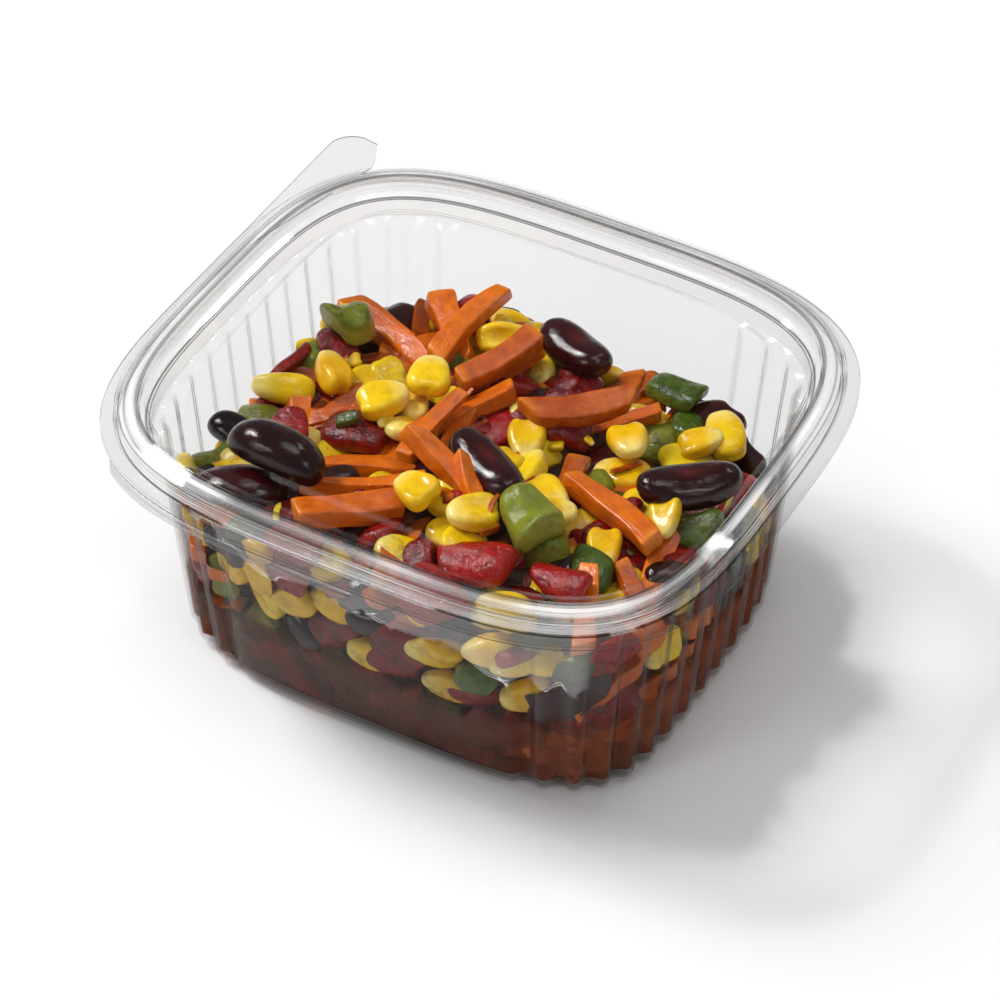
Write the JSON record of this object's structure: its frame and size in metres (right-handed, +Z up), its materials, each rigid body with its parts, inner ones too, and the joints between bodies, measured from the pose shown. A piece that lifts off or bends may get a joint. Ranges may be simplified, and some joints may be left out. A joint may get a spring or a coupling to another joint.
{
  "type": "snap lid food container",
  "caption": "Clear rounded rectangular deli tub with fluted walls, corner tab and hinged snap lid, filled with a bean, corn and carrot salad.",
  "frame": {"origin": "centre of the tub's underside, on the surface it stands on", "axes": "+Z up, X along the long side, -Y towards the hinge side, +Y towards the back long side"},
  "size_m": [0.127, 0.1147, 0.0573],
  "materials": {
    "clear_tub": "clear thermoformed PET sheet",
    "clear_lid": "clear thermoformed PET sheet",
    "clear_strip": "clear PET, perforated edge",
    "dressing": "wet brown dressing over packed salad",
    "corn": "wet yellow kernels",
    "carrot": "wet cut carrot",
    "red_pepper": "wet cut red pepper",
    "green_pepper": "wet cut green pepper",
    "celery": "wet cut celery",
    "black_bean": "wet black beans",
    "kidney_bean": "wet dark kidney beans"
  },
  "bodies": {
    "tub_body": {"black_beans": "black_bean", "carrot_strips_back": "carrot", "carrot_strips_front": "carrot", "carrot_strips_middle": "carrot", "celery_chunks_back": "celery", "celery_chunks_front": "celery", "corn_kernels_back": "corn", "corn_kernels_front": "corn", "corn_kernels_middle": "corn", "green_peppers_back": "green_pepper", "green_peppers_front": "green_pepper", "green_peppers_middle": "green_pepper", "hinge_strip": "clear_strip", "kidney_bean_1": "kidney_bean", "kidney_bean_2": "kidney_bean", "kidney_bean_3": "kidney_bean", "kidney_bean_4": "kidney_bean", "kidney_bean_5": "kidney_bean", "kidney_bean_6": "kidney_bean", "kidney_bean_7": "kidney_bean", "red_peppers_back": "red_pepper", "red_peppers_front": "red_pepper", "red_peppers_middle": "red_pepper", "salad_bed": "dressing", "tub": "clear_tub"},
    "lid_body": {"lid": "clear_lid"}
  },
  "joints": [
    {"name": "lid_hinge", "type": "hinge", "parent": "tub_body", "child": "lid_body", "pos_m": [0, -0.05775, 0.0525], "axis": [1, 0, 0], "range_deg": [0, 180]}
  ]
}
